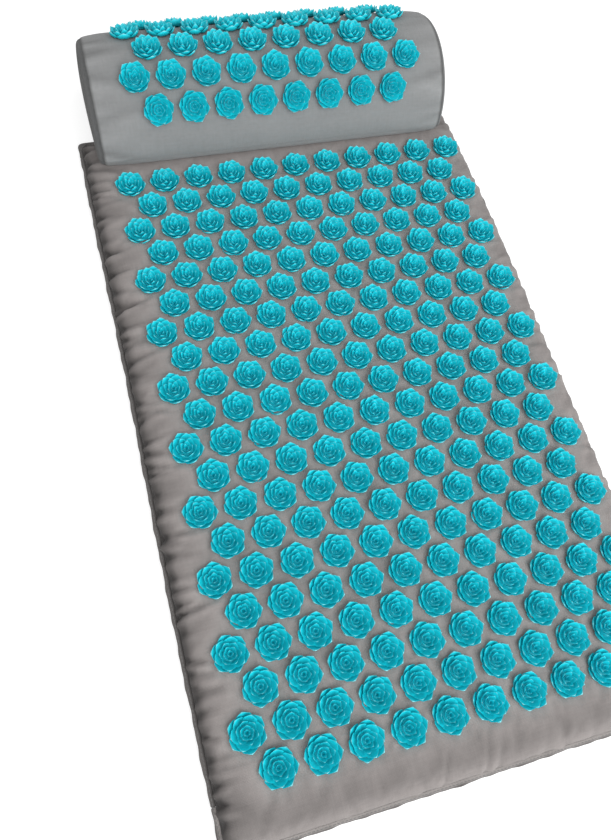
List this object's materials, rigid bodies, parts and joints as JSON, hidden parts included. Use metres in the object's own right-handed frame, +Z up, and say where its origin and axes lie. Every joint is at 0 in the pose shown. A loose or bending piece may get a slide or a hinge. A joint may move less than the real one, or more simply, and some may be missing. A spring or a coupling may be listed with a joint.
{
  "type": "acupressure mat with pillow",
  "caption": "Flat foam mat and half-round neck pillow in zipped grey canvas covers, both set with rows of teal flower-shaped acupressure discs.",
  "frame": {"origin": "on the mat's flat underside, midway between its ends and, across it, under the middle of its field of discs", "axes": "X across the mat, +Y along the mat towards the pillow at its head end, +Z up; right-handed, metres"},
  "size_m": [0.433, 0.7945, 0.1097],
  "materials": {
    "canvas": "matt plain-weave cotton canvas",
    "welt_canvas": "folded canvas seam, matt",
    "foam": "open-cell foam, matt",
    "disc_plastic": "glossy moulded plastic",
    "zip_tape": "woven zip tape, matt",
    "zip_nylon": "coil of nylon teeth",
    "zip_metal": "plated die-cast metal"
  },
  "bodies": {
    "mat": {"mat_foam_core": "foam", "mat_top_cover": "canvas", "mat_bottom_cover": "canvas", "mat_welt_head": "welt_canvas", "mat_welt_left": "welt_canvas", "mat_welt_right": "welt_canvas", "mat_welt_foot": "welt_canvas", "mat_disc_row_01": "disc_plastic", "mat_disc_row_02": "disc_plastic", "mat_disc_row_03": "disc_plastic", "mat_disc_row_04": "disc_plastic", "mat_disc_row_05": "disc_plastic", "mat_disc_row_06": "disc_plastic", "mat_disc_row_07": "disc_plastic", "mat_disc_row_08": "disc_plastic", "mat_disc_row_09": "disc_plastic", "mat_disc_row_10": "disc_plastic", "mat_disc_row_11": "disc_plastic", "mat_disc_row_12": "disc_plastic", "mat_disc_row_13": "disc_plastic", "mat_disc_row_14": "disc_plastic", "mat_disc_row_15": "disc_plastic", "mat_disc_row_16": "disc_plastic", "mat_disc_row_17": "disc_plastic", "mat_disc_row_18": "disc_plastic", "mat_disc_row_19": "disc_plastic", "mat_disc_row_20": "disc_plastic", "mat_zip_tape_upper": "zip_tape", "mat_zip_tape_lower": "zip_tape", "mat_zip_chain": "zip_nylon", "mat_zip_stop_closed": "zip_metal", "mat_zip_stop_open": "zip_metal"},
    "pillow": {"pillow_foam_core": "foam", "pillow_top_cover": "canvas", "pillow_base_cover": "canvas", "pillow_end_left": "canvas", "pillow_end_right": "canvas", "pillow_disc_row_1": "disc_plastic", "pillow_disc_row_2": "disc_plastic", "pillow_disc_row_3": "disc_plastic", "pillow_disc_row_4": "disc_plastic", "pillow_disc_row_5": "disc_plastic", "pillow_zip_tape_upper": "zip_tape", "pillow_zip_tape_lower": "zip_tape", "pillow_zip_chain": "zip_nylon", "pillow_zip_stop_closed": "zip_metal", "pillow_zip_stop_open": "zip_metal"},
    "mat_slider": {"mat_zip_slider": "zip_metal"},
    "mat_puller": {"mat_zip_puller": "zip_metal"},
    "pillow_slider": {"pillow_zip_slider": "zip_metal"},
    "pillow_puller": {"pillow_zip_puller": "zip_metal"}
  },
  "joints": [
    {"name": "pillow_lift", "type": "slide", "parent": "mat", "child": "pillow", "axis": [0, 0, 1], "range_m": [0, 0.15]},
    {"name": "mat_zip_slide", "type": "slide", "parent": "mat", "child": "mat_slider", "axis": [0, 1, 0], "range_m": [0, 0.365]},
    {"name": "mat_puller_swing", "type": "hinge", "parent": "mat_slider", "child": "mat_puller", "pos_m": [0.2073, -0.285, 0.009], "axis": [0, 0, -1], "range_deg": [0, 175]},
    {"name": "pillow_zip_slide", "type": "slide", "parent": "pillow", "child": "pillow_slider", "axis": [-1, 0, 0], "range_m": [0, 0.31]},
    {"name": "pillow_puller_swing", "type": "hinge", "parent": "pillow_slider", "child": "pillow_puller", "pos_m": [0.1423, 0.444, 0.03299], "axis": [0, 0.0999, -0.995], "range_deg": [0, 175]}
  ]
}
